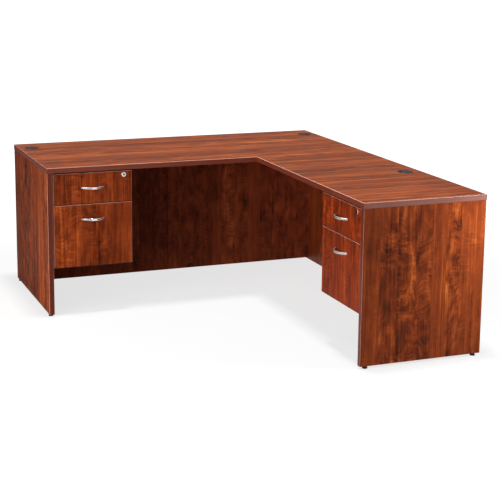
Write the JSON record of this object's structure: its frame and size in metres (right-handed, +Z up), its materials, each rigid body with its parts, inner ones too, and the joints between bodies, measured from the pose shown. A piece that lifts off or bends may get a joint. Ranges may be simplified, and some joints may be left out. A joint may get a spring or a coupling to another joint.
{
  "type": "corner desk",
  "caption": "L-shaped office desk: rectangular top with a return on the right, panel ends, modesty panels, and a hung box-and-file drawer pedestal under each side.",
  "frame": {"origin": "on the floor, under the middle of the L-shaped footprint's bounding rectangle", "axes": "+Z up; the sitter at the desk faces +Y; the return runs towards -Y along the +X side"},
  "size_m": [1.68, 1.982, 0.7388],
  "materials": {
    "cherry_laminate": "satin cherry woodgrain laminate on particle board",
    "drawer_board": "matt pale wood-pattern foil on particle board",
    "edge_banding": "satin reddish-brown edge banding",
    "slide_steel": "zinc-plated steel",
    "handle_nickel": "satin nickel",
    "lock_chrome": "polished chrome",
    "black_plastic": "moulded black plastic",
    "zinc_hardware": "zinc-plated"
  },
  "bodies": {
    "desk_shell": {"desk_top": "cherry_laminate", "return_top": "cherry_laminate", "top_edging": "edge_banding", "desk_left_end_panel": "cherry_laminate", "desk_right_end_panel": "cherry_laminate", "return_end_panel": "cherry_laminate", "end_panel_edging": "edge_banding", "desk_modesty_panel": "cherry_laminate", "return_modesty_panel": "cherry_laminate", "cam_fasteners": "zinc_hardware", "steel_brackets": "zinc_hardware", "assembly_screws": "zinc_hardware", "grommet_liners": "black_plastic", "desk_pedestal_sides": "cherry_laminate", "desk_pedestal_back": "cherry_laminate", "desk_pedestal_bottom": "cherry_laminate", "desk_pedestal_top_rails": "cherry_laminate", "desk_pedestal_fixed_rails": "slide_steel", "return_pedestal_sides": "cherry_laminate", "return_pedestal_back": "cherry_laminate", "return_pedestal_bottom": "cherry_laminate", "return_pedestal_top_rails": "cherry_laminate", "return_pedestal_fixed_rails": "slide_steel"},
    "desk_box_drawer": {"desk_box_drawer_front": "cherry_laminate", "desk_box_drawer_handle": "handle_nickel", "desk_box_drawer_walls": "drawer_board", "desk_box_drawer_bottom": "drawer_board", "desk_box_drawer_rails": "slide_steel", "desk_lock_body": "lock_chrome"},
    "desk_file_drawer": {"desk_file_drawer_front": "cherry_laminate", "desk_file_drawer_handle": "handle_nickel", "desk_file_drawer_walls": "drawer_board", "desk_file_drawer_bottom": "drawer_board", "desk_file_drawer_rails": "slide_steel", "desk_file_hanging_rails": "slide_steel"},
    "desk_file_slide": {"desk_file_middle_rails": "slide_steel"},
    "desk_lock_plug": {"desk_lock_plug": "lock_chrome"},
    "return_box_drawer": {"return_box_drawer_front": "cherry_laminate", "return_box_drawer_handle": "handle_nickel", "return_box_drawer_walls": "drawer_board", "return_box_drawer_bottom": "drawer_board", "return_box_drawer_rails": "slide_steel", "return_lock_body": "lock_chrome"},
    "return_file_drawer": {"return_file_drawer_front": "cherry_laminate", "return_file_drawer_handle": "handle_nickel", "return_file_drawer_walls": "drawer_board", "return_file_drawer_bottom": "drawer_board", "return_file_drawer_rails": "slide_steel", "return_file_hanging_rails": "slide_steel"},
    "return_file_slide": {"return_file_middle_rails": "slide_steel"},
    "return_lock_plug": {"return_lock_plug": "lock_chrome"},
    "grommet_cap_left": {"grommet_cap_left": "black_plastic"},
    "grommet_cap_right": {"grommet_cap_right": "black_plastic"},
    "grommet_cap_return": {"grommet_cap_return": "black_plastic"},
    "desk_left_front_glide": {"desk_left_front_glide": "black_plastic"},
    "desk_left_rear_glide": {"desk_left_rear_glide": "black_plastic"},
    "desk_right_front_glide": {"desk_right_front_glide": "black_plastic"},
    "desk_right_rear_glide": {"desk_right_rear_glide": "black_plastic"},
    "return_left_glide": {"return_left_glide": "black_plastic"},
    "return_right_glide": {"return_right_glide": "black_plastic"}
  },
  "joints": [
    {"name": "desk_box_drawer_slide", "type": "slide", "parent": "desk_shell", "child": "desk_box_drawer", "axis": [0, -1, 0], "range_m": [0, 0.33]},
    {"name": "desk_file_drawer_slide", "type": "slide", "parent": "desk_shell", "child": "desk_file_drawer", "axis": [0, -1, 0], "range_m": [0, 0.44]},
    {"name": "desk_file_middle_slide", "type": "slide", "parent": "desk_shell", "child": "desk_file_slide", "axis": [0, -1, 0], "range_m": [0, 0.22]},
    {"name": "desk_lock_turn", "type": "hinge", "parent": "desk_box_drawer", "child": "desk_lock_plug", "pos_m": [-0.4581, 0.234, 0.687], "axis": [0, 1, 0], "range_deg": [0, 90]},
    {"name": "return_box_drawer_slide", "type": "slide", "parent": "desk_shell", "child": "return_box_drawer", "axis": [-1, 0, 0], "range_m": [0, 0.33]},
    {"name": "return_file_drawer_slide", "type": "slide", "parent": "desk_shell", "child": "return_file_drawer", "axis": [-1, 0, 0], "range_m": [0, 0.44]},
    {"name": "return_file_middle_slide", "type": "slide", "parent": "desk_shell", "child": "return_file_slide", "axis": [-1, 0, 0], "range_m": [0, 0.22]},
    {"name": "return_lock_turn", "type": "hinge", "parent": "return_box_drawer", "child": "return_lock_plug", "pos_m": [0.245, -0.9191, 0.687], "axis": [1, 0, 0], "range_deg": [0, 90]},
    {"name": "grommet_cap_left_turn", "type": "hinge", "parent": "desk_shell", "child": "grommet_cap_left", "pos_m": [-0.776, 0.851, 0.737], "axis": [0, 0, 1], "continuous": true},
    {"name": "grommet_cap_right_turn", "type": "hinge", "parent": "desk_shell", "child": "grommet_cap_right", "pos_m": [0.776, 0.851, 0.737], "axis": [0, 0, 1], "continuous": true},
    {"name": "grommet_cap_return_turn", "type": "hinge", "parent": "desk_shell", "child": "grommet_cap_return", "pos_m": [0.758, -0.381, 0.737], "axis": [0, 0, 1], "continuous": true},
    {"name": "desk_left_front_glide_adjust", "type": "slide", "parent": "desk_shell", "child": "desk_left_front_glide", "axis": [0, 0, -1], "range_m": [0, 0.012]},
    {"name": "desk_left_rear_glide_adjust", "type": "slide", "parent": "desk_shell", "child": "desk_left_rear_glide", "axis": [0, 0, -1], "range_m": [0, 0.012]},
    {"name": "desk_right_front_glide_adjust", "type": "slide", "parent": "desk_shell", "child": "desk_right_front_glide", "axis": [0, 0, -1], "range_m": [0, 0.012]},
    {"name": "desk_right_rear_glide_adjust", "type": "slide", "parent": "desk_shell", "child": "desk_right_rear_glide", "axis": [0, 0, -1], "range_m": [0, 0.012]},
    {"name": "return_left_glide_adjust", "type": "slide", "parent": "desk_shell", "child": "return_left_glide", "axis": [0, 0, -1], "range_m": [0, 0.012]},
    {"name": "return_right_glide_adjust", "type": "slide", "parent": "desk_shell", "child": "return_right_glide", "axis": [0, 0, -1], "range_m": [0, 0.012]}
  ],
  "couplings": [
    {"joint": "desk_file_middle_slide", "follows": "desk_file_drawer_slide", "ratio": 0.5},
    {"joint": "return_file_middle_slide", "follows": "return_file_drawer_slide", "ratio": 0.5}
  ]
}
